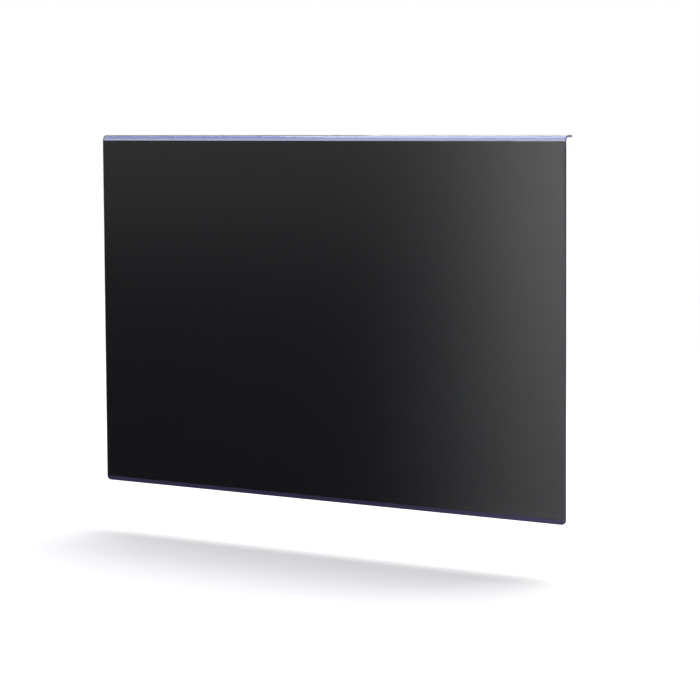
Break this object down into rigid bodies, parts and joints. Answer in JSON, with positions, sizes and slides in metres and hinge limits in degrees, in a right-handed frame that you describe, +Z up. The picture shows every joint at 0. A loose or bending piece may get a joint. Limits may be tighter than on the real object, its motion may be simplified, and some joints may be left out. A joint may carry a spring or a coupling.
{
  "type": "monitor privacy filter",
  "caption": "Clear acrylic panel with a short bent-back lip that hangs on a monitor's top edge, its front covered by a dark louvre film that blocks the view from the side.",
  "frame": {"origin": "middle of the lip's flat underside, which rests on the monitor's top edge", "axes": "+Z up as hung, +X along the panel's width, +Y backwards, towards the monitor; the dark film faces -Y"},
  "size_m": [0.532, 0.0135, 0.337],
  "materials": {
    "clear_acrylic": "clear with a violet tint that deepens at the bend and the edges, polished faces and edges",
    "dark_film": "near-black louvre film with a soft satin sheen"
  },
  "bodies": {
    "root": {"acrylic_panel": "clear_acrylic", "privacy_film": "dark_film"}
  },
  "joints": []
}
